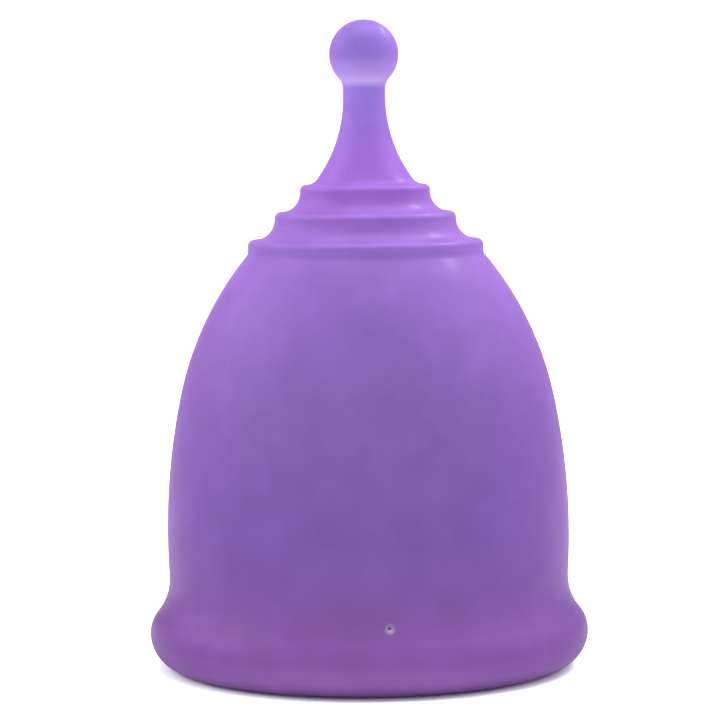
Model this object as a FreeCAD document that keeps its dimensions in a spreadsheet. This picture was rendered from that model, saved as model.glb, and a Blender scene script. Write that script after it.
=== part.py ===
import FreeCAD, Part
import math
import os
import re
import Sketcher

# Silicone menstrual cup, standing mouth down with its stem up.
# Frame: +Z up, origin at the middle of the rim's resting face, the front is -Y. All sizes in mm.
# The real cup is one moulding. It is divided here into its zones: the rim bead and the bell wall
# (each in front, back, left and right parts), the base, three grip rings and the stem's pieces.
# The front and back walls swing in when the mouth is pinched, the stem and its tip bend.

SIZES = [
    # name, value, what it is
    ("rim_dia", 46.0, "outside of the rim bead"),
    ("rim_round", 3.65, "bead rounding below its widest line"),
    ("bead_round", 3.15, "bead rounding above its widest line"),
    ("cove_round", 6.0, "hollow rounding between bead and bell"),
    ("rim_height", 5.95, "height of the rim zone"),
    ("land_width", 0.8, "flat resting ring under the rim"),
    ("mouth_round", 0.75, "rounding of the mouth's inner lip"),
    ("bead_step", 1.94, "how far the bead stands out from the widest line of the bell"),
    ("belly_height", 13.9, "height of the widest line of the bell"),
    ("belly_round", 68.7, "lower, slow curve of the bell outline"),
    ("wall", 2.0, "thickness of the bell wall"),
    ("bell_height", 43.2, "height of the bell, up to the lowest grip ring"),
    ("shoulder_share", 0.5, "how far up from the widest line to the top the bell starts to close faster"),
    ("floor_thickness", 1.0, "bell's closed end, from the hollow to the lowest ring's foot"),
    ("floor_round", 6.0, "rounding between the hollow's wall and its floor"),
    ("base_rise", 4.0, "height of the base, above the side walls"),
    ("vent_dia", 0.75, "air vent holes"),
    ("vent_height", 7.1, "height of the vent holes"),
    ("vent_turn", 5.3, "turn of the first vent from the front, degrees"),
    ("panel_low", 14.0, "half width of a folding wall at the mouth"),
    ("panel_high", 8.0, "half width of a folding wall at its top"),
    ("panel_gap", 0.35, "clearance round a folding wall"),
    ("ring_low_dia", 24.54, "lowest grip ring"),
    ("ring_mid_dia", 18.9, "middle grip ring"),
    ("ring_top_dia", 13.55, "top grip ring"),
    ("ring_low_rise", 1.46, "height of the lowest grip ring"),
    ("ring_mid_rise", 2.88, "height of the middle grip ring"),
    ("ring_top_rise", 2.83, "height of the top grip ring"),
    ("ring_edge", 0.6, "rounding of the rings' top edges"),
    ("ring_foot", 2.2, "hollow rounding at the rings' feet, where the ring below leaves room"),
    ("stem_length", 9.05, "stem from the top ring to its thinnest part"),
    ("neck_dia", 4.4, "thinnest part of the stem"),
    ("foot_dia", 10.88, "flare of the stem where it meets the top ring"),
    ("foot_round", 1.45, "rounding at the flare's foot"),
    ("ball_dia", 7.2, "ball at the end of the stem"),
    ("neck_round", 1.7, "hollow rounding under the ball"),
    ("neck_rise", 0.85, "straight neck under the ball's hollow"),
    ("joint_rise", 3.0, "where the stem's zone starts above the top ring"),
    ("seat_floor", 0.3, "thickness under the seat in the stem's root"),
    ("bend_gap", 0.3, "clearance round the rounded ends of stem and tip"),
]

doc = FreeCAD.newDocument("cup")
sheet = doc.addObject("Spreadsheet::Sheet", "Sizes")
for row, (name, value, meaning) in enumerate(SIZES, start=1):
    sheet.set("A%d" % row, name)
    sheet.set("B%d" % row, str(value))
    sheet.set("C%d" % row, meaning)
    sheet.setAlias("B%d" % row, name)
doc.recompute()


# Sizes that follow from the others.
DERIVED = {
    "belly_dia": "rim_dia - 2 * bead_step",
    "shoulder_height": "belly_height + (bell_height - belly_height) * shoulder_share",
    "cavity_depth": "bell_height - floor_thickness",
    "base_height": "bell_height - base_rise",
    "ring_mid_height": "bell_height + ring_low_rise",
    "ring_top_height": "ring_mid_height + ring_mid_rise",
    "stem_height": "ring_top_height + ring_top_rise",
    "neck_height": "stem_height + stem_length",
    "split_height": "neck_height + neck_rise",
    # A ring's foot stays on the flat of the ring below.
    "ring_mid_foot": "min(ring_foot; (ring_low_dia - ring_mid_dia) / 2 - ring_edge - 0.02)",
    "ring_top_foot": "min(ring_foot; (ring_mid_dia - ring_top_dia) / 2 - ring_edge - 0.02)",
    # The flare leaves the neck upright and reaches the foot's diameter at the top ring.
    "flare_round": "(foot_dia - neck_dia) / 4 + stem_length ^ 2 / (foot_dia - neck_dia)",
    # The stem's rounded end touches the flare at joint_height and its seat stays above the ring.
    "joint_height": "stem_height + joint_rise",
    "joint_radius": "neck_dia / 2 + flare_round - sqrt(flare_round ^ 2 - (stem_length - joint_rise) ^ 2)",
    "stem_bottom": "stem_height + seat_floor + bend_gap",
    "stem_pivot": "(joint_radius ^ 2 / (joint_height - stem_bottom) + joint_height + stem_bottom) / 2",
    "stem_ball": "stem_pivot - stem_bottom",
}
NAMES = [entry[0] for entry in SIZES]


def expand(formula):
    """The formula written with the sheet's own names only."""
    def swap(word):
        name = word.group(0)
        return "(%s)" % expand(DERIVED[name]) if name in DERIVED else name
    return re.sub("[a-z_]+", swap, formula)


def size(formula):
    """Value of a formula of the names above."""
    return float(sheet.evalExpression(expand(formula)))


def sheet_formula(formula):
    """The same formula written for an object outside the sheet."""
    def swap(word):
        name = word.group(0)
        return "Sizes." + name if name in NAMES else name
    return re.sub("[a-z_]+", swap, expand(formula))


def bind(item, prop, formula):
    item.setExpression(prop, sheet_formula(formula))


class Outline:
    """A half outline (radius, height) on a body's XZ plane, turned round Z into a solid."""

    def __init__(self, label):
        self.body = doc.addObject("PartDesign::Body", label)
        self.sketch = self.body.newObject("Sketcher::SketchObject", label + "_outline")
        planes = self.body.Origin.OriginFeatures
        plane = [item for item in planes if item.Role == "XZ_Plane"][0]
        self.sketch.AttachmentSupport = [(plane, "")]
        self.sketch.MapMode = "FlatFace"

    def rule(self, kind, *where):
        return self.sketch.addConstraint(Sketcher.Constraint(kind, *where))

    def sized(self, kind, where, formula):
        """A dimension that follows a formula of the sheet."""
        index = self.rule(kind, *where, size(formula))
        self.sketch.setExpression("Constraints[%d]" % index, sheet_formula(formula))

    def line(self, start, end):
        begin = FreeCAD.Vector(start[0], start[1], 0)
        finish = FreeCAD.Vector(end[0], end[1], 0)
        return self.sketch.addGeometry(Part.LineSegment(begin, finish))

    def arc(self, centre, radius, low, high):
        """Arc from angle low to angle high (degrees, counter-clockwise)."""
        middle = FreeCAD.Vector(centre[0], centre[1], 0)
        circle = Part.Circle(middle, FreeCAD.Vector(0, 0, 1), radius)
        turn = Part.ArcOfCircle(circle, math.radians(low), math.radians(high))
        return self.sketch.addGeometry(turn)

    def put(self, geometry, end, radius=None, height=None):
        """Places an end of a line or arc by its radius and height."""
        if radius is not None:
            self.sized("DistanceX", (-1, 1, geometry, end), radius)
        if height is not None:
            self.sized("DistanceY", (-1, 1, geometry, end), height)

    def radius(self, geometry, formula):
        self.sized("Radius", (geometry,), formula)

    def join(self, first, first_end, second, second_end, smooth=False):
        kind = "Tangent" if smooth else "Coincident"
        self.rule(kind, first, first_end, second, second_end)

    def level(self, geometry):
        self.rule("Horizontal", geometry)

    def on_axis(self, geometry, end):
        self.rule("PointOnObject", geometry, end, -2)

    def turned(self):
        turn = self.body.newObject("PartDesign::Revolution", self.body.Name + "_turned")
        turn.Profile = self.sketch
        turn.ReferenceAxis = (self.sketch, ["V_Axis"])
        turn.Angle = 360.0
        self.body.Tip = turn
        self.sketch.Visibility = False
        return self.body


START, END, MIDDLE = 1, 2, 3


def angle(centre, point):
    return math.degrees(math.atan2(point[1] - centre[1], point[0] - centre[0]))


def crossing(first, first_radius, second, second_radius, lower):
    """The lower or upper crossing of two circles."""
    across = second[0] - first[0]
    up = second[1] - first[1]
    gap = math.hypot(across, up)
    along = (first_radius ** 2 - second_radius ** 2 + gap ** 2) / (2 * gap)
    side = math.sqrt(first_radius ** 2 - along ** 2)
    near = (first[0] + along * across / gap, first[1] + along * up / gap)
    both = [(near[0] + side * up / gap * sign, near[1] - side * across / gap * sign)
            for sign in (1, -1)]
    both.sort(key=lambda point: point[1])
    return both[0] if lower else both[1]


def bell():
    """The whole hollow bell with its rim bead, up to the lowest grip ring."""
    rim = size("rim_dia / 2")
    low = (rim - size("rim_round"), size("rim_round"))
    bead = (rim - size("bead_round"), size("rim_round"))
    belly = (size("belly_dia / 2 - belly_round"), size("belly_height"))
    cove = crossing(belly, size("belly_round + cove_round"), bead, size("bead_round + cove_round"), False)
    rise = math.asin(size("(shoulder_height - belly_height) / belly_round"))
    join = (belly[0] + size("belly_round") * math.cos(rise), size("shoulder_height"))
    top = (size("ring_low_dia / 2"), size("bell_height"))
    # The upper curve leaves the join along the belly's tangent and ends at the lowest ring.
    chord = math.hypot(top[0] - join[0], top[1] - join[1])
    lean = math.atan2(join[0] - top[0], top[1] - join[1]) - rise
    upper = chord / 2 / math.sin(lean)
    shoulder = (join[0] - upper * math.cos(rise), join[1] - upper * math.sin(rise))
    wall = size("wall")
    floor = size("cavity_depth")
    floor_round = size("floor_round")
    drop = floor - floor_round - shoulder[1]
    bend = (shoulder[0] + math.sqrt((upper - wall - floor_round) ** 2 - drop ** 2),
            floor - floor_round)
    inner_low = (belly[0] + size("belly_round - wall") * math.cos(0.05), cove[1])
    lip = (low[0] - size("land_width"), size("mouth_round"))

    shape = Outline("bell")
    land = shape.line((lip[0], 0), (low[0], 0))
    bead_low = shape.arc(low, size("rim_round"), -90, 0)
    bead_top = shape.arc(bead, size("bead_round"), 0, angle(bead, cove))
    hollow = shape.arc(cove, size("cove_round"), angle(belly, cove) + 180, angle(bead, cove) + 180)
    lower = shape.arc(belly, size("belly_round"), angle(belly, cove), angle(belly, join))
    closing = shape.arc(shoulder, upper, angle(shoulder, join), angle(shoulder, top))
    roof = shape.line(top, (0, top[1]))
    middle = shape.line((0, top[1]), (0, floor))
    ceiling = shape.line((0, floor), (bend[0], floor))
    corner = shape.arc(bend, floor_round, angle(shoulder, bend), 90)
    inner_top = shape.arc(shoulder, upper - wall, angle(shoulder, join), angle(shoulder, bend))
    inner = shape.arc(belly, size("belly_round - wall"), angle(belly, inner_low), angle(belly, join))
    throat = shape.line(inner_low, (lip[0] - size("mouth_round"), lip[1]))
    inner_lip = shape.arc(lip, size("mouth_round"), 176, 270)

    shape.join(land, END, bead_low, START, smooth=True)
    shape.join(bead_low, END, bead_top, START, smooth=True)
    shape.join(bead_top, END, hollow, END, smooth=True)
    shape.join(hollow, START, lower, START, smooth=True)
    shape.join(lower, END, closing, START, smooth=True)
    shape.join(closing, END, roof, START)
    shape.join(roof, END, middle, START)
    shape.join(middle, END, ceiling, START)
    shape.join(ceiling, END, corner, END, smooth=True)
    shape.join(corner, START, inner_top, END, smooth=True)
    shape.join(inner_top, START, inner, END, smooth=True)
    shape.join(inner, START, throat, START)
    shape.join(throat, END, inner_lip, START, smooth=True)
    shape.join(inner_lip, END, land, START, smooth=True)
    shape.join(inner, MIDDLE, lower, MIDDLE)
    shape.level(land)
    shape.level(roof)
    shape.level(ceiling)
    shape.rule("PointOnObject", land, START, -1)
    shape.on_axis(middle, START)
    shape.on_axis(middle, END)
    shape.put(bead_low, END, radius="rim_dia / 2", height="rim_round")
    shape.put(lower, MIDDLE, radius="belly_dia / 2 - belly_round", height="belly_height")
    shape.put(lower, END, height="shoulder_height")
    shape.put(closing, END, radius="ring_low_dia / 2", height="bell_height")
    shape.put(middle, END, height="cavity_depth")
    shape.join(inner_top, MIDDLE, closing, MIDDLE)
    shape.put(inner, START, height="rim_height + bead_round / 2")
    shape.radius(bead_low, "rim_round")
    shape.radius(bead_top, "bead_round")
    shape.radius(hollow, "cove_round")
    shape.radius(lower, "belly_round")
    shape.radius(inner, "belly_round - wall")
    shape.radius(corner, "floor_round")
    shape.radius(inner_lip, "mouth_round")
    shape.sized("DistanceX", (land, START, land, END), "land_width")
    return shape


def grip_ring(label, bottom, top, dia, foot=None):
    """A grip ring: hollow foot where there is one, upright side, rounded top edge."""
    low = size(bottom)
    high = size(top)
    side = size(dia + " / 2")
    edge = size("ring_edge")
    toe = size(foot) if foot else 0.0
    shape = Outline(label)
    under = shape.line((0, low), (side + toe, low))
    upright = shape.line((side, low + toe), (side, high - edge))
    round_top = shape.arc((side - edge, high - edge), edge, 0, 90)
    shelf = shape.line((side - edge, high), (0, high))
    middle = shape.line((0, high), (0, low))
    if foot:
        hollow = shape.arc((side + toe, low + toe), toe, 180, 270)
        shape.join(under, END, hollow, END, smooth=True)
        shape.join(hollow, START, upright, START, smooth=True)
        shape.radius(hollow, foot)
    else:
        shape.join(under, END, upright, START)
    shape.join(upright, END, round_top, START, smooth=True)
    shape.join(round_top, END, shelf, START, smooth=True)
    shape.join(shelf, END, middle, START)
    shape.join(middle, END, under, START)
    shape.level(under)
    shape.level(shelf)
    shape.rule("Vertical", upright)
    shape.on_axis(middle, START)
    shape.on_axis(middle, END)
    shape.put(under, START, height=bottom)
    shape.put(shelf, START, height=top)
    shape.put(upright, START, radius=dia + " / 2")
    shape.radius(round_top, "ring_edge")
    return shape


def flare_centre():
    return size("neck_dia / 2 + flare_round"), size("neck_height")


def draw_flare(shape, low, high):
    """The stem's hollow flare between two points of it."""
    centre = flare_centre()
    flare = shape.arc(centre, size("flare_round"), angle(centre, high) % 360, angle(centre, low) % 360)
    shape.put(flare, MIDDLE, radius="neck_dia / 2 + flare_round", height="neck_height")
    shape.radius(flare, "flare_round")
    return flare


def draw_end(shape, height, radius, point):
    """A rounded end or seat about a pivot on the axis, from the axis to a point."""
    centre = (0.0, size(height))
    turn = shape.arc(centre, size(radius), -90, angle(centre, point))
    shape.on_axis(turn, MIDDLE)
    shape.put(turn, MIDDLE, height=height)
    shape.on_axis(turn, START)
    shape.radius(turn, radius)
    return turn


def stem_root():
    """Foot of the flare with the hollow seat the stem bends in."""
    low = size("stem_height")
    centre = flare_centre()
    reach = size("flare_round - foot_round")
    foot_height = low + size("foot_round")
    foot_centre = (centre[0] - math.sqrt(reach ** 2 - (centre[1] - foot_height) ** 2), foot_height)
    seat_radius = size("stem_ball + bend_gap")
    rim = crossing((0.0, size("stem_pivot")), seat_radius, centre, size("flare_round"), True)
    toe = angle(centre, foot_centre) % 360
    toe_point = (centre[0] + size("flare_round") * math.cos(math.radians(toe)),
                 centre[1] + size("flare_round") * math.sin(math.radians(toe)))

    shape = Outline("stem_root")
    under = shape.line((0, low), (foot_centre[0], low))
    foot = shape.arc(foot_centre, size("foot_round"), toe, 270)
    flare = draw_flare(shape, toe_point, rim)
    seat = draw_end(shape, "stem_pivot", "stem_ball + bend_gap", rim)
    middle = shape.line((0, size("stem_pivot") - seat_radius), (0, low))
    shape.join(under, END, foot, END, smooth=True)
    shape.join(foot, START, flare, END, smooth=True)
    shape.join(flare, START, seat, END)
    shape.join(seat, START, middle, START)
    shape.join(middle, END, under, START)
    shape.level(under)
    shape.radius(foot, "foot_round")
    shape.on_axis(middle, END)
    shape.put(under, START, height="stem_height")
    return shape


def stem():
    """The bending stem: rounded lower end, flare, and a hollow seat for the tip."""
    centre = flare_centre()
    flare_round = size("flare_round")
    low = crossing((0.0, size("stem_pivot")), size("stem_ball"), centre, flare_round, True)
    seat_radius = size("neck_dia / 2 + bend_gap")
    high = crossing((0.0, size("neck_height")), seat_radius, centre, flare_round, True)

    shape = Outline("stem")
    lower = draw_end(shape, "stem_pivot", "stem_ball", low)
    flare = draw_flare(shape, low, high)
    seat = draw_end(shape, "neck_height", "neck_dia / 2 + bend_gap", high)
    middle = shape.line((0, size("neck_height") - seat_radius), (0, size("stem_pivot - stem_ball")))
    shape.join(lower, END, flare, END)
    shape.join(flare, START, seat, END)
    shape.join(seat, START, middle, START)
    shape.join(middle, END, lower, START)
    return shape


def stem_neck():
    """Thin neck under the ball, with the rounded end the tip bends on."""
    neck = size("neck_dia / 2")
    height = size("neck_height")
    top = size("split_height")

    shape = Outline("stem_neck")
    lower = draw_end(shape, "neck_height", "neck_dia / 2", (neck, height))
    side = shape.line((neck, height), (neck, top))
    roof = shape.line((neck, top), (0, top))
    middle = shape.line((0, top), (0, height - neck))
    shape.join(lower, END, side, START, smooth=True)
    shape.join(side, END, roof, START)
    shape.join(roof, END, middle, START)
    shape.join(middle, END, lower, START)
    shape.rule("Vertical", side)
    shape.level(roof)
    shape.on_axis(middle, START)
    shape.put(middle, START, height="split_height")
    return shape


def pull_ball():
    """The ball at the end of the stem, with the hollow under it."""
    low = size("split_height")
    neck = size("neck_dia / 2")
    hollow_centre = (size("neck_dia / 2 + neck_round"), low)
    ball = size("ball_dia / 2")
    reach = size("ball_dia / 2 + neck_round")
    ball_centre = (0.0, low + math.sqrt(reach ** 2 - hollow_centre[0] ** 2))

    shape = Outline("pull_ball")
    under = shape.line((0, low), (neck, low))
    hollow = shape.arc(hollow_centre, size("neck_round"), angle(hollow_centre, ball_centre), 180)
    round_top = shape.arc(ball_centre, ball, angle(ball_centre, hollow_centre), 90)
    middle = shape.line((0, ball_centre[1] + ball), (0, low))
    shape.join(under, END, hollow, END)
    shape.join(hollow, START, round_top, START, smooth=True)
    shape.join(round_top, END, middle, START)
    shape.join(middle, END, under, START)
    shape.level(under)
    shape.on_axis(middle, START)
    shape.on_axis(middle, END)
    shape.on_axis(round_top, MIDDLE)
    shape.put(under, START, height="split_height")
    shape.put(hollow, MIDDLE, radius="neck_dia / 2 + neck_round", height="split_height")
    shape.radius(hollow, "neck_round")
    shape.radius(round_top, "ball_dia / 2")
    return shape


def drill_vents(shape):
    """Two drillings through the bell, crossing at a right angle: four air vents."""
    for number, turn in enumerate(("vent_turn", "vent_turn + 90")):
        label = "vents_%d" % (number + 1)
        sketch = shape.body.newObject("Sketcher::SketchObject", label + "_outline")
        planes = shape.body.Origin.OriginFeatures
        plane = [item for item in planes if item.Role == "XZ_Plane"][0]
        sketch.AttachmentSupport = [(plane, "")]
        sketch.MapMode = "FlatFace"
        spin = FreeCAD.Rotation(FreeCAD.Vector(0, 1, 0), size(turn))
        sketch.AttachmentOffset = FreeCAD.Placement(FreeCAD.Vector(0, 0, 0), spin)
        bind(sketch, "AttachmentOffset.Rotation.Angle", turn)
        centre = FreeCAD.Vector(0, size("vent_height"), 0)
        hole = sketch.addGeometry(Part.Circle(centre, FreeCAD.Vector(0, 0, 1), size("vent_dia / 2")))
        sketch.addConstraint(Sketcher.Constraint("PointOnObject", hole, MIDDLE, -2))
        for kind, where, formula in (("DistanceY", (-1, 1, hole, MIDDLE), "vent_height"),
                                     ("Radius", (hole,), "vent_dia / 2")):
            index = sketch.addConstraint(Sketcher.Constraint(kind, *where, size(formula)))
            sketch.setExpression("Constraints[%d]" % index, sheet_formula(formula))
        pocket = shape.body.newObject("PartDesign::Pocket", label)
        pocket.Profile = sketch
        pocket.Type = "ThroughAll"
        pocket.Midplane = True
        shape.body.Tip = pocket
        sketch.Visibility = False


def band(label, body, low, high):
    """The slice of the bell between two heights."""
    slab = doc.addObject("Part::Cylinder", label + "_slab")
    bind(slab, "Radius", "rim_dia")
    bind(slab, "Height", "(%s) - (%s)" % (high, low))
    bind(slab, "Placement.Base.z", low)
    part = doc.addObject("Part::Common", label)
    part.Base = body
    part.Tool = slab
    return part


def half_width(height):
    """Half the width of a folding wall at a height, as a formula."""
    return "panel_low - (panel_low - panel_high) * (%s) / base_height" % height


def wedge(label, low, high, near, far, front, back):
    """Upright block between two heights. near and far are its X limits as formulas of the height,
    front and back its limits towards -Y."""
    block = doc.addObject("Part::Wedge", label)
    quarter = FreeCAD.Rotation(FreeCAD.Vector(1, 0, 0), 90)
    block.Placement = FreeCAD.Placement(FreeCAD.Vector(0, 0, 0), quarter)
    limits = {"Ymin": low, "Ymax": high, "Xmin": near(low), "Xmax": far(low),
              "X2min": near(high), "X2max": far(high),
              "Zmin": back, "Z2min": back, "Zmax": front, "Z2max": front}
    for prop in ("Xmax", "X2max", "Zmax", "Z2max", "Ymax", "Xmin", "X2min", "Zmin", "Z2min", "Ymin"):
        setattr(block, prop, size(limits[prop]))
    for prop, formula in limits.items():
        bind(block, prop, formula)
    return block


def outer_edge(height):
    return half_width(height) + " + panel_gap"


def beyond(height):
    return "rim_dia"


def minus(edge):
    return lambda height: "-(%s)" % edge(height)


def quarters():
    """Blocks that divide the bell: two folding walls and the two side walls between them."""
    low = "-1"
    fold_top = "base_height - panel_gap"
    side_top = "base_height + 1"
    return {
        "front": wedge("front_block", low, fold_top, minus(half_width), half_width, "rim_dia", "0"),
        "back": wedge("back_block", low, fold_top, minus(half_width), half_width, "0", "-rim_dia"),
        "left": wedge("left_block", low, side_top, minus(beyond), minus(outer_edge), "rim_dia", "-rim_dia"),
        "right": wedge("right_block", low, side_top, outer_edge, beyond, "rim_dia", "-rim_dia"),
    }


def build():
    whole = bell()
    whole.turned()
    drill_vents(whole)
    parts = {}
    rim = band("rim", whole.body, "-1", "rim_height")
    walls = band("walls", whole.body, "rim_height", "base_height")
    base = band("base", whole.body, "base_height", "bell_height + 1")
    parts["base"] = base
    for side, block in quarters().items():
        for zone, ring in (("rim", rim), ("wall", walls)):
            piece = doc.addObject("Part::Common", zone + "_" + side)
            piece.Base = ring
            piece.Tool = block
            parts[zone + "_" + side] = piece
    rings = (("grip_ring_low", "bell_height", "ring_mid_height", "ring_low_dia", None),
             ("grip_ring_mid", "ring_mid_height", "ring_top_height", "ring_mid_dia", "ring_mid_foot"),
             ("grip_ring_top", "ring_top_height", "stem_height", "ring_top_dia", "ring_top_foot"))
    for label, bottom, top, dia, foot in rings:
        parts[label] = grip_ring(label, bottom, top, dia, foot).turned()
    for make in (stem_root, stem, stem_neck, pull_ball):
        shape = make()
        parts[shape.body.Label] = shape.turned()
    return parts


PARTS = build()
doc.recompute()

faults = [item.Name for item in doc.Objects if "Invalid" in item.State or "Error" in item.State]
assert not faults, "failed: " + ", ".join(faults)
for label, item in PARTS.items():
    assert not item.Shape.isNull() and item.Shape.isValid(), label
    assert len(item.Shape.Solids) == 1, label

os.makedirs("parts", exist_ok=True)
for label, item in PARTS.items():
    item.Label = label
    item.Shape.Solids[0].exportStep("parts/%s.step" % label)
    print("%-16s %9.2f mm3" % (label, item.Shape.Volume))
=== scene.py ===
import math

import bpy
import numpy as np
from mathutils import Matrix, Vector


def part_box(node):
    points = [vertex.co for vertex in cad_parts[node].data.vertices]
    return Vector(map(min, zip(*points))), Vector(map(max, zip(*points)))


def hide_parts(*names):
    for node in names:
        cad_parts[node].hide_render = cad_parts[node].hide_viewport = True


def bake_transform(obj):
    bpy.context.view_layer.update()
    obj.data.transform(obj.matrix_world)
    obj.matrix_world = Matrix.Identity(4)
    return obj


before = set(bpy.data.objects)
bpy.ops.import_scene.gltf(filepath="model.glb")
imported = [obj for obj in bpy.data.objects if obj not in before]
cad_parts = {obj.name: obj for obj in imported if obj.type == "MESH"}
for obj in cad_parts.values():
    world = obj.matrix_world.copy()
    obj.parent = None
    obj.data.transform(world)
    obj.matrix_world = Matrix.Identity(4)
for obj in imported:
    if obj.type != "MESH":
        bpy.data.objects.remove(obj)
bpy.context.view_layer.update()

# A soft silicone cup, mouth down. Outlines below are in millimetres as (radius, height).
MM = 0.001
OVERALL_HEIGHT = 67.46

# Rim, bell and hollow. An "in" is measured inwards from the rim's outside.
RIM_ROUND = 3.65
LIP_IN = 4.45
LIP_ROUND = 0.75
BEAD_ROUND = 3.15
COVE_ROUND = 6.0
BELLY_IN = 70.64
BELLY_HEIGHT = 13.9
BELLY_ROUND = 68.7
SHOULDER_HEIGHT = 28.55
END_RADIUS = 12.27
END_ROUND = 0.8
WALL = 2.0
FLOOR_THICKNESS = 1.0
FLOOR_ROUND = 6.0

# Grip rings: each ring's radius, the height of its shelf, and the fillet inside the shelf.
RING_EDGE = 0.6
RINGS = [(12.27, 44.66, 2.2), (9.45, 47.54, 2.055), (6.775, 50.37, None)]

# Stem and ball.
STEM_FOOT = (6.16, 50.37)
FOOT_ROUND = 1.45
FLARE_ROUND = 14.259
NECK = (2.2, 59.42)
NECK_RISE = 0.85
NECK_ROUND = 1.7
BALL_RADIUS = 3.6

# Vents: bearings in degrees from the front, and the even grid of points each opening is cut in.
VENT_TURNS = [5.3 + 90 * k for k in range(4)]
VENT_HEIGHT = 7.1
VENT_RADIUS = 0.375
PATCH = 6
PATCH_STEP = 0.12
HOLE_RING = 3
HOLE_EDGE = 1.15 * VENT_RADIUS
VENT_AT_RADIUS = 21.0
# Reach of the pale glint painted round each vent, in millimetres from its middle.
PAINTED_GLINT_INSIDE, PAINTED_GLINT_OUTSIDE = 0.25, 0.6
TURN_STEP = 2.5

# Heights where the skins of the stem and of the tip begin.
STEM_SEAM = 52.2
TIP_SEAM = 58.3


def arc(centre, radius, low, high, step):
    """Points on an arc between two bearings in degrees, about one step apart."""
    count = max(6, int(abs(math.radians(high - low)) * radius / step))
    turn = np.radians(np.linspace(low, high, count + 1))
    return [(centre[0] + radius * math.cos(a), centre[1] + radius * math.sin(a)) for a in turn]


def line(start, end, step):
    """Points on a straight line, about one step apart."""
    length = math.dist(start, end)
    count = max(1, int(length / step))
    return [(start[0] + (end[0] - start[0]) * k / count, start[1] + (end[1] - start[1]) * k / count)
            for k in range(count + 1)]


def bearing(centre, point):
    """Direction from one point to another, in degrees."""
    return math.degrees(math.atan2(point[1] - centre[1], point[0] - centre[0]))


def crossing(first, first_radius, second, second_radius):
    """The upper one of the two points where two circles cross."""
    across, up = second[0] - first[0], second[1] - first[1]
    gap = math.hypot(across, up)
    along = (first_radius ** 2 - second_radius ** 2 + gap ** 2) / (2 * gap)
    side = math.sqrt(first_radius ** 2 - along ** 2)
    near = (first[0] + along * across / gap, first[1] + along * up / gap)
    both = [(near[0] + side * up / gap * s, near[1] - side * across / gap * s) for s in (1, -1)]
    return max(both, key=lambda p: p[1])


def rounded(corners):
    """Polyline through corners (radius, height, rounding), each corner turned into an arc."""
    path = []
    for k, (r, z, bend) in enumerate(corners):
        if bend == 0 or k in (0, len(corners) - 1):
            path.append((r, z))
            continue
        before = np.array(corners[k - 1][:2]) - (r, z)
        after = np.array(corners[k + 1][:2]) - (r, z)
        before /= np.linalg.norm(before)
        after /= np.linalg.norm(after)
        half = math.acos(float(np.clip(before @ after, -1, 1))) / 2
        middle = (before + after) / np.linalg.norm(before + after)
        centre = np.array((r, z)) + middle * bend / math.sin(half)
        start = np.array((r, z)) + before * bend / math.tan(half)
        end = np.array((r, z)) + after * bend / math.tan(half)
        a, b = bearing(centre, start), bearing(centre, end)
        if b - a > 180:
            b -= 360
        if a - b > 180:
            b += 360
        path += arc(centre, bend, a, b, 0.11)
    return path


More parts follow.
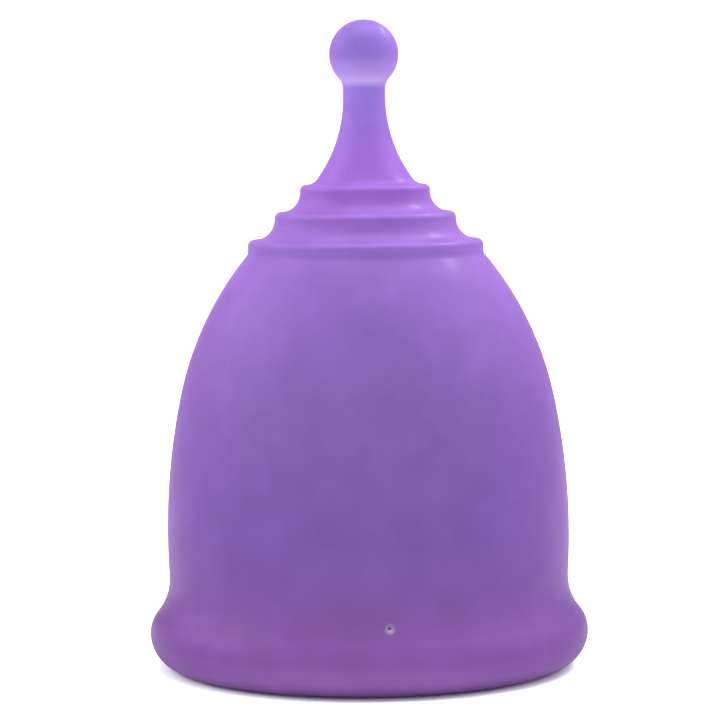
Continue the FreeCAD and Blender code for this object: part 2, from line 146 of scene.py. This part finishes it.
def outline():
    """Outer outline from the resting ring to the ball's top, and inner outline back to the floor's middle."""
    rim = -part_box("rim_left")[0][0] / MM
    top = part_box("base")[1][2] / MM
    low, lip = (rim - RIM_ROUND, RIM_ROUND), (rim - LIP_IN, LIP_ROUND)
    bead = (rim - BEAD_ROUND, RIM_ROUND)
    belly = (rim - BELLY_IN, BELLY_HEIGHT)
    cove = crossing(belly, BELLY_ROUND + COVE_ROUND, bead, BEAD_ROUND + COVE_ROUND)
    rise = math.asin((SHOULDER_HEIGHT - BELLY_HEIGHT) / BELLY_ROUND)
    join = (belly[0] + BELLY_ROUND * math.cos(rise), SHOULDER_HEIGHT)
    end = (END_RADIUS, top)
    lean = math.atan2(join[0] - end[0], end[1] - join[1])
    upper = math.dist(end, join) / 2 / math.sin(lean - rise)
    shoulder = (join[0] - upper * math.cos(rise), join[1] - upper * math.sin(rise))

    # The rim's underside, the bead, the cove above it and the bell.
    outer = arc(lip, LIP_ROUND, 177, 270, 0.12)
    outer += line((lip[0], 0), (low[0], 0), 0.2)[1:-1]
    outer += arc(low, RIM_ROUND, -90, 0, 0.25)
    outer += arc(bead, BEAD_ROUND, 0, bearing(bead, cove), 0.2)[1:]
    outer += arc(cove, COVE_ROUND, bearing(bead, cove) + 180, bearing(belly, cove) + 180, 0.1)[1:]
    outer += arc(belly, BELLY_ROUND, bearing(belly, cove), bearing(belly, join), 0.5)[1:]
    outer += arc(shoulder, upper, bearing(shoulder, join), bearing(shoulder, end), 0.4)[1:-2]

    # The grip rings, each an edge and the fillet where the next one rises from its shelf.
    steps = [outer[-1] + (0,), end + (END_ROUND,)]
    for (radius, height, fillet), above in zip(RINGS, RINGS[1:]):
        steps += [(radius, height, RING_EDGE), (above[0], height, fillet)]
    steps += [RINGS[-1][:2] + (RING_EDGE,), STEM_FOOT + (0,)]
    outer += rounded(steps)[1:]

    # The stem's foot, its flare, the neck and the ball.
    flare = (NECK[0] + FLARE_ROUND, NECK[1])
    foot_height = STEM_FOOT[1] + FOOT_ROUND
    foot = (flare[0] - math.sqrt((FLARE_ROUND - FOOT_ROUND) ** 2 - (NECK[1] - foot_height) ** 2), foot_height)
    toe = bearing(flare, foot) % 360
    outer += arc(foot, FOOT_ROUND, 270, toe, 0.12)[1:]
    outer += arc(flare, FLARE_ROUND, toe, 180, 0.2)[1:]
    hollow = (NECK[0] + NECK_ROUND, NECK[1] + NECK_RISE)
    outer += line(NECK, (NECK[0], hollow[1]), 0.2)[1:-1]
    ball = (0.0, hollow[1] + math.sqrt((BALL_RADIUS + NECK_ROUND) ** 2 - hollow[0] ** 2))
    outer += arc(hollow, NECK_ROUND, 180, bearing(hollow, ball), 0.12)
    outer += arc(ball, BALL_RADIUS, bearing(ball, hollow), 90, 0.16)[1:]

    # The hollow, from just above the lip up the throat to the middle of its floor.
    floor = top - FLOOR_THICKNESS
    drop = floor - FLOOR_ROUND - shoulder[1]
    bend = (shoulder[0] + math.sqrt((upper - WALL - FLOOR_ROUND) ** 2 - drop ** 2), floor - FLOOR_ROUND)
    throat_top = (belly[0] + math.sqrt((BELLY_ROUND - WALL) ** 2 - (cove[1] - belly[1]) ** 2), cove[1])
    inner = line((lip[0] - 0.749, lip[1] + 0.04), throat_top, 0.3)
    inner += arc(belly, BELLY_ROUND - WALL, bearing(belly, throat_top), bearing(belly, join), 0.6)[1:]
    inner += arc(shoulder, upper - WALL, bearing(shoulder, join), bearing(shoulder, bend), 0.6)[1:]
    inner += arc(bend, FLOOR_ROUND, bearing(shoulder, bend), 90, 0.4)[1:]
    inner += line((bend[0], floor), (0, floor), 1.0)[1:]
    return outer, inner


def with_vent_rows(path):
    """The outline with evenly spaced points across the vents' height."""
    span = PATCH * PATCH_STEP
    heights = [VENT_HEIGHT + k * PATCH_STEP for k in range(-PATCH, PATCH + 1)]
    inside = [k for k, p in enumerate(path) if abs(p[1] - VENT_HEIGHT) < span + 0.05 and p[0] > 15]
    first, last = inside[0], inside[-1]
    near = sorted(path[first - 1:last + 2], key=lambda p: p[1])
    near_r, near_z = zip(*near)
    rows = [(float(np.interp(z, near_z, near_r)), z) for z in heights]
    if path[first][1] > path[last][1]:
        rows.reverse()
    return path[:first] + rows + path[last + 1:]


def outline_normals(path):
    """Outward normals of an outline that runs with the material on its left."""
    p = np.array(path)
    seg = np.diff(p, axis=0)
    seg /= np.linalg.norm(seg, axis=1)[:, None]
    tangent = np.vstack([seg[:1], seg[:-1] + seg[1:], seg[-1:]])
    tangent /= np.linalg.norm(tangent, axis=1)[:, None]
    return np.column_stack([tangent[:, 1], -tangent[:, 0]])


def vents_between(low, high):
    """Bearings of the vents between two angles from +X. The vents' own bearings start at the front."""
    bearings = [vent - 90 + lap for vent in VENT_TURNS for lap in (-360, 0, 360)]
    return [centre for centre in bearings if low < centre < high]


def turns(low, high):
    """Angles from low to high, close together beside each vent."""
    fine = math.degrees(PATCH_STEP / VENT_AT_RADIUS)
    marks = [centre + k * fine for centre in vents_between(low, high) for k in range(-PATCH, PATCH + 1)]
    even = [low + TURN_STEP * k for k in range(int(round((high - low) / TURN_STEP)) + 1)]
    kept = [a for a in even if not marks or min(abs(a - m) for m in marks) > 0.5]
    return sorted(kept + marks)


def square_to_circle(i, j):
    """Where a patch point (column i, row j from the vent's middle) goes so that the hole is round."""
    ring = max(abs(i), abs(j))
    square = np.array((i, j), float) * PATCH_STEP
    share = (ring - HOLE_RING) / (PATCH - HOLE_RING)
    reach = HOLE_EDGE + share * (PATCH * PATCH_STEP - HOLE_EDGE)
    if i == 0 and j == 0:
        return square
    circle = square / np.linalg.norm(square) * reach
    return (1 - share) * circle + share * square


def skin(name, path, normals, low, high, vents=False):
    """Turns an outline about Z between two angles. Vents pass through where both walls are in it."""
    angles = turns(low, high)
    whole = high - low > 359
    if whole:
        angles = angles[:-1]
    rows, cols = len(path), len(angles)
    r, z = np.array(path, float).T
    radius, height, n_r, n_z = [np.repeat(v[:, None], cols, 1) for v in (r, z, normals[:, 0], normals[:, 1])]
    turn = np.repeat(np.radians(angles)[None, :], rows, 0)

    # The grid round each vent is bent so that its opening is round, on the outer and on the inner wall.
    holes = []
    middles = [k for k in range(rows) if abs(z[k] - VENT_HEIGHT) < 1e-6 and r[k] > 15]
    for centre in vents_between(low, high) if vents else []:
        col = int(np.argmin(np.abs(np.array(angles) - centre)))
        pair = []
        for mid in middles:
            up = 1 if z[mid + 1] > z[mid] else -1
            span = slice(mid - PATCH, mid + PATCH + 1)
            order = np.argsort(z[span])
            for i in range(-PATCH, PATCH + 1):
                for j in range(-PATCH, PATCH + 1):
                    across, rise = square_to_circle(i, j)
                    at = (mid + j * up, col + i)
                    level = VENT_HEIGHT + rise
                    radius[at] = np.interp(level, z[span][order], r[span][order])
                    height[at] = level
                    turn[at] = math.radians(centre) + across / r[mid]
                    n_r[at] = np.interp(level, z[span][order], normals[span, 0][order])
                    n_z[at] = np.interp(level, z[span][order], normals[span, 1][order])
            pair.append((mid, col, up))
        holes.append(pair)

    # Points inside an opening are left out, and the faces over it.
    ring = range(-HOLE_RING, HOLE_RING)
    open_faces, open_points = set(), set()
    for mid, col, _ in sum(holes, []):
        open_faces |= {(mid + a, col + b) for a in ring for b in ring}
        open_points |= {(mid + a, col + b) for a in ring[1:] for b in ring[1:]}

    index = -np.ones((rows, cols), int)
    verts, norms, faces = [], [], []

    def add(point, normal):
        verts.append(point)
        norms.append(normal)
        return len(verts) - 1

    for k in range(rows):
        pole = r[k] < 1e-6
        for c in range(cols):
            if pole and c:
                index[k, c] = index[k, 0]
                continue
            if (k, c) in open_points:
                continue
            t = turn[k, c]
            point = (radius[k, c] * math.cos(t), radius[k, c] * math.sin(t), height[k, c])
            size = math.hypot(n_r[k, c], n_z[k, c])
            normal = (n_r[k, c] * math.cos(t) / size, n_r[k, c] * math.sin(t) / size, n_z[k, c] / size)
            if pole:
                normal = (0, 0, 1 if n_z[k, c] > 0 else -1)
            index[k, c] = add(point, normal)
    for k in range(rows - 1):
        for c in range(cols if whole else cols - 1):
            if (k, c) in open_faces:
                continue
            d = (c + 1) % cols
            face = [index[k, c], index[k, d], index[k + 1, d], index[k + 1, c]]
            faces.append([v for n, v in enumerate(face) if v != face[n - 1]])
    for pair in holes:
        faces += tunnel(pair, index, verts, add)

    mesh = bpy.data.meshes.new(name)
    mesh.from_pydata([tuple(x * MM for x in v) for v in verts], [], faces)
    mesh.polygons.foreach_set("use_smooth", [True] * len(mesh.polygons))
    mesh.update()
    mesh.normals_split_custom_set_from_vertices([tuple(n) for n in norms])
    obj = bpy.data.objects.new(name, mesh)
    bpy.context.scene.collection.objects.link(obj)
    return obj


def hole_loop(mid, col, up, index):
    """The points round one opening of a vent, in order."""
    h = HOLE_RING
    steps = [(i, -h) for i in range(-h, h)] + [(h, j) for j in range(-h, h)]
    steps += [(i, h) for i in range(h, -h, -1)] + [(-h, j) for j in range(h, -h, -1)]
    return [index[mid + j * up, col + i] for i, j in steps]


def tunnel(pair, index, verts, add):
    """The wall of a vent between its two openings: a shallow funnel that leads into a narrow bore."""
    loops = [hole_loop(*end, index) for end in pair]
    loops.sort(key=lambda loop: -np.mean([np.hypot(*verts[v][:2]) for v in loop]))
    outer, inner = [np.array([verts[v] for v in loop]) for loop in loops]
    middle = outer.mean(0) * (1, 1, 0)
    axis = middle / np.linalg.norm(middle)
    centre = np.array((0, 0, VENT_HEIGHT))
    rings = [loops[0]]
    # Share of the way in, width as a share of the vent's radius, and how far the normals lean outwards.
    taper = [(0.015, 1.1, 0.9), (0.035, 0.95, 1.1), (0.07, 0.62, 1.4), (0.1, 0.3, 1.2), (0.13, 0.18, 0.3),
             (0.9, 0.18, 0.0), (0.97, 0.5, -0.6)]
    for share, width, lean in taper:
        ring = []
        for a, b in zip(outer, inner):
            point = a + (b - a) * share
            side = point - centre - axis * ((point - centre) @ axis)
            side /= np.linalg.norm(side)
            along = a @ axis + (b @ axis - a @ axis) * share
            place = centre + axis * along + side * width * VENT_RADIUS
            normal = axis * lean - side
            ring.append(add(tuple(place), tuple(normal / np.linalg.norm(normal))))
        rings.append(ring)
    rings.append(loops[1])
    faces = []
    count = len(rings[0])
    for first, second in zip(rings, rings[1:]):
        for k in range(count):
            n = (k + 1) % count
            faces.append([first[k], first[n], second[n], second[k]])
    return faces


outer, inner = outline()
outer = with_vent_rows(outer)
inner = with_vent_rows(inner)
path = inner[::-1] + outer
path_normals = outline_normals(path)
heights = np.array([p[1] for p in path])
offset = len(inner)
stem_row = offset + int(np.argmin(np.abs(heights[offset:] - STEM_SEAM)))
tip_row = offset + int(np.argmin(np.abs(heights[offset:] - TIP_SEAM)))

cup_path, cup_normals = path[:stem_row + 1], path_normals[:stem_row + 1]
front = skin("front_skin", cup_path, cup_normals, -180, 0, vents=True)
back = skin("back_skin", cup_path, cup_normals, 0, 180, vents=True)
stem = skin("stem_skin", path[stem_row:tip_row + 1], path_normals[stem_row:tip_row + 1], -180, 180)
tip = skin("tip_skin", path[tip_row:], path_normals[tip_row:], -180, 180)


def mark(mesh):
    """Stores each point's share of the height at rest, and how near it lies to a vent, for the pale glint
    painted there.
    """
    at = np.array([v.co for v in mesh.vertices]) / MM
    turn = math.radians(VENT_TURNS[0])
    across = np.abs(at[:, 0] * math.cos(turn) + at[:, 1] * math.sin(turn))
    along = np.abs(at[:, 1] * math.cos(turn) - at[:, 0] * math.sin(turn))
    gap = np.hypot(np.minimum(across, along), at[:, 2] - VENT_HEIGHT)
    share = np.clip((PAINTED_GLINT_OUTSIDE - gap) / (PAINTED_GLINT_OUTSIDE - PAINTED_GLINT_INSIDE), 0, 1)
    for name, values in (("height", at[:, 2] / OVERALL_HEIGHT), ("vent_glint", share * share * (3 - 2 * share))):
        layer = mesh.attributes.new(name, "FLOAT", "POINT")
        layer.data.foreach_set("value", values.astype(np.float32))


def silicone():
    """Frosted translucent violet silicone: paler and redder high up, deeper over the hollow bell, with
    painted light at the neck, round the vents and at the very bottom.
    """
    mat = bpy.data.materials.new("silicone")
    mat.use_nodes = True
    nodes, links = mat.node_tree.nodes, mat.node_tree.links
    nodes.clear()
    coord = nodes.new("ShaderNodeTexCoord")

    def stored(name):
        node = nodes.new("ShaderNodeAttribute")
        node.attribute_name = name
        return node.outputs["Fac"]

    def noise(scale, detail):
        node = nodes.new("ShaderNodeTexNoise")
        node.inputs["Scale"].default_value = scale
        node.inputs["Detail"].default_value = detail
        links.new(coord.outputs["Object"], node.inputs["Vector"])
        return node.outputs["Fac"]

    def ramp(value, stops):
        """Colours by place, first to last."""
        node = nodes.new("ShaderNodeValToRGB")
        elements = node.color_ramp.elements
        elements[0].position, elements[1].position = stops[0][0], stops[-1][0]
        elements[0].color, elements[1].color = stops[0][1] + (1,), stops[-1][1] + (1,)
        for place, colour in stops[1:-1]:
            elements.new(place).color = colour + (1,)
        links.new(value, node.inputs[0])
        return node.outputs[0]

    def mixed(factor, first, second, kind="MIX"):
        """Mix of two colours. The factor and the second colour may be plain values."""
        node = nodes.new("ShaderNodeMix")
        node.data_type = "RGBA"
        node.blend_type = kind
        links.new(first, node.inputs["A"])
        for socket, value in (("Factor", factor), ("B", second)):
            if isinstance(value, (float, tuple)):
                node.inputs[socket].default_value = value
            else:
                links.new(value, node.inputs[socket])
        return node.outputs["Result"]

    level = stored("height")
    sway = nodes.new("ShaderNodeMath")
    sway.operation = "MULTIPLY_ADD"
    sway.inputs[1].default_value = 0.025
    links.new(noise(60.0, 3.0), sway.inputs[0])
    links.new(level, sway.inputs[2])
    # Colour by height. The lighter first stop at the very bottom is painted light that offsets the floor's
    # contact shadow under the rim.
    body = ramp(sway.outputs[0], [
        (0.035, (0.237, 0.111, 0.353)), (0.065, (0.175, 0.067, 0.265)), (0.13, (0.162, 0.072, 0.269)),
        (0.24, (0.141, 0.071, 0.286)), (0.42, (0.160, 0.086, 0.296)), (0.62, (0.186, 0.099, 0.353)),
        (0.70, (0.229, 0.114, 0.398)), (0.78, (0.241, 0.104, 0.428)), (0.90, (0.223, 0.142, 0.458)),
        (1.0, (0.170, 0.115, 0.370))])

    # Painted light: a pale band painted where the ball meets the neck stands in for light that the ball
    # gathers there, and a pale patch painted round each vent stands in for a glint at the vent's lip.
    painted_glow_band = ramp(level, [(0.895, (0.0,) * 3), (0.907, (0.7,) * 3), (0.920, (0.28,) * 3), (0.945, (0.0,) * 3)])
    with_painted_glow = mixed(painted_glow_band, body, (0.52, 0.40, 0.60, 1))
    # Pale colour painted round each vent stands in for a glint at its lip.
    colour = mixed(stored("vent_glint"), with_painted_glow, (0.37, 0.28, 0.44, 1))

    # Painted light: slanting faces get a deeper colour, standing in for light that has come a longer way
    # through the silicone.
    slant = nodes.new("ShaderNodeLayerWeight")
    slant.inputs["Blend"].default_value = 0.25
    deep = nodes.new("ShaderNodeMath")
    deep.operation = "MULTIPLY"
    deep.inputs[1].default_value = 1.4
    deep.use_clamp = True
    links.new(slant.outputs["Facing"], deep.inputs[0])
    # The lighter first stop at the very bottom is painted light that offsets the floor's contact shadow.
    slant_colour = ramp(level, [
        (0.0, (0.30, 0.15, 0.41)), (0.03, (0.092, 0.015, 0.185)), (0.10, (0.115, 0.030, 0.215)),
        (0.42, (0.165, 0.055, 0.310)), (0.68, (0.235, 0.095, 0.420))])
    edged = mixed(deep.outputs[0], colour, slant_colour)

    # Faint clouding in the moulded silicone.
    tone = nodes.new("ShaderNodeMapRange")
    limits = {"From Min": 0.3, "From Max": 0.7, "To Min": 0.93, "To Max": 1.07}
    for socket, value in limits.items():
        tone.inputs[socket].default_value = value
    links.new(noise(260.0, 4.0), tone.inputs["Value"])
    toned = mixed(1.0, edged, tone.outputs[0], "MULTIPLY")

    bsdf = nodes.new("ShaderNodeBsdfPrincipled")
    finish = {"Roughness": 0.5, "IOR": 1.41, "Specular IOR Level": 0.12,
              "Coat Weight": 0.07, "Coat Roughness": 0.2}
    for socket, value in finish.items():
        bsdf.inputs[socket].default_value = value
    grain = nodes.new("ShaderNodeBump")
    grain.inputs["Strength"].default_value = 0.12
    grain.inputs["Distance"].default_value = 0.0001
    links.new(noise(1800.0, 2.0), grain.inputs["Height"])
    links.new(grain.outputs[0], bsdf.inputs["Normal"])
    glow = nodes.new("ShaderNodeBsdfTranslucent")
    links.new(toned, bsdf.inputs["Base Color"])
    links.new(toned, glow.inputs["Color"])
    both = nodes.new("ShaderNodeMixShader")
    both.inputs[0].default_value = 0.4
    links.new(bsdf.outputs[0], both.inputs[1])
    links.new(glow.outputs[0], both.inputs[2])
    out = nodes.new("ShaderNodeOutputMaterial")
    links.new(both.outputs[0], out.inputs[0])
    return mat


material = silicone()
for piece in (front, back, stem, tip):
    mark(piece.data)
    piece.data.materials.append(material)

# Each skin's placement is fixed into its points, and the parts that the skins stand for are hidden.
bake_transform(front)
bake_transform(back)
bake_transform(stem)
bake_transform(tip)
sides = ["base", "rim_left", "rim_right", "wall_left", "wall_right", "grip_ring_low", "grip_ring_mid",
         "grip_ring_top", "stem_root"]
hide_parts("rim_front", "wall_front", *sides)
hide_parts("rim_back", "wall_back", *sides)
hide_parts("stem")
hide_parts("stem_neck", "pull_ball")


def studio():
    """Pale floor that curves up all round, soft boxes at both sides and above, a white surround."""
    flat, curl, wall_top, around = 0.6, 0.5, 0.8, 96
    curve = [(r, 0.0) for r in (0.001, 0.15, 0.3, flat)]
    for a in np.radians(np.linspace(0, 90, 21))[1:]:
        curve.append((flat + curl * math.sin(a), curl - curl * math.cos(a)))
    curve.append((flat + curl, wall_top))
    verts = [(r * math.cos(2 * math.pi * k / around), r * math.sin(2 * math.pi * k / around), z)
             for r, z in curve for k in range(around)]
    faces = [list(range(around))]
    for row in range(len(curve) - 1):
        for k in range(around):
            a, b = row * around + k, row * around + (k + 1) % around
            faces.append([a, b, b + around, a + around])
    mesh = bpy.data.meshes.new("floor")
    mesh.from_pydata(verts, [], faces)
    mesh.polygons.foreach_set("use_smooth", [True] * len(mesh.polygons))
    floor = bpy.data.objects.new("floor", mesh)
    bpy.context.scene.collection.objects.link(floor)
    mat = bpy.data.materials.new("floor_white")
    mat.use_nodes = True
    paint = mat.node_tree.nodes["Principled BSDF"]
    paint.inputs["Base Color"].default_value = (0.93, 0.93, 0.94, 1)
    paint.inputs["Roughness"].default_value = 0.9
    mesh.materials.append(mat)
    world = bpy.data.worlds.new("surround")
    world.use_nodes = True
    world.node_tree.nodes["Background"].inputs[0].default_value = (1, 1, 1, 1)
    world.node_tree.nodes["Background"].inputs[1].default_value = 0.9
    bpy.context.scene.world = world
    lights = [("left_box", (-0.42, 0.05, 0.30), (0.5, 0.4), 2.6),
              ("right_box", (0.42, 0.05, 0.30), (0.5, 0.4), 1.2),
              ("top_box", (0.02, 0.0, 0.55), (0.45, 0.45), 5.0),
              ("spark", (0.28, 0.22, 0.40), (0.22, 0.06), 2.0)]
    for name, place, spread, power in lights:
        lamp = bpy.data.lights.new(name, "AREA")
        lamp.shape = "RECTANGLE"
        lamp.size, lamp.size_y = spread
        lamp.energy = power
        obj = bpy.data.objects.new(name, lamp)
        obj.location = place
        obj.rotation_euler = (Vector((0, 0, 0.035)) - Vector(place)).to_track_quat("-Z", "Y").to_euler()
        bpy.context.scene.collection.objects.link(obj)


def camera():
    """The photograph's view: from the front, a little above, with a slight roll."""
    data = bpy.data.cameras.new("camera")
    data.lens = 158.3
    data.sensor_width = 36.0
    data.clip_start = 0.01
    eye = bpy.data.objects.new("camera", data)
    place, aim = Vector((-0.0007, -0.330, 0.05905)), Vector((-0.0007, 0, 0.03202))
    look = (aim - place).to_track_quat("-Z", "Y").to_matrix().to_4x4()
    roll = Matrix.Rotation(math.radians(-0.57), 4, "Z")
    eye.matrix_world = Matrix.Translation(place) @ look @ roll
    bpy.context.scene.collection.objects.link(eye)
    bpy.context.scene.camera = eye


studio()
camera()
bpy.context.scene.view_settings.view_transform = "Standard"
